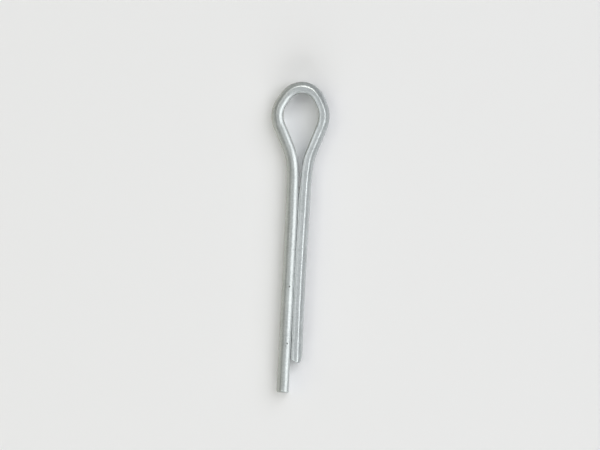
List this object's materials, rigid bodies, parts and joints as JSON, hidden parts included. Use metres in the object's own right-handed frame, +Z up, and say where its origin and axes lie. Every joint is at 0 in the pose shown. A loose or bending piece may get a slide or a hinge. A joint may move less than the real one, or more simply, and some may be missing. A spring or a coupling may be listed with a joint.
{
  "type": "cotter pin",
  "caption": "Split cotter pin of half-round steel wire folded flat to flat, with a teardrop eye and one leg left longer as a prong.",
  "frame": {"origin": "on the shank's axis, where the straight shank ends and the eye begins", "axes": "+Y along the shank towards the eye, +Z up through the eye's opening, long leg on the -X side; the pin lies on its side"},
  "size_m": [0.0054, 0.0291, 0.0022],
  "materials": {
    "zinc_steel": "bright zinc plate on low carbon steel wire"
  },
  "bodies": {
    "root": {"cotter_pin": "zinc_steel"}
  },
  "joints": []
}
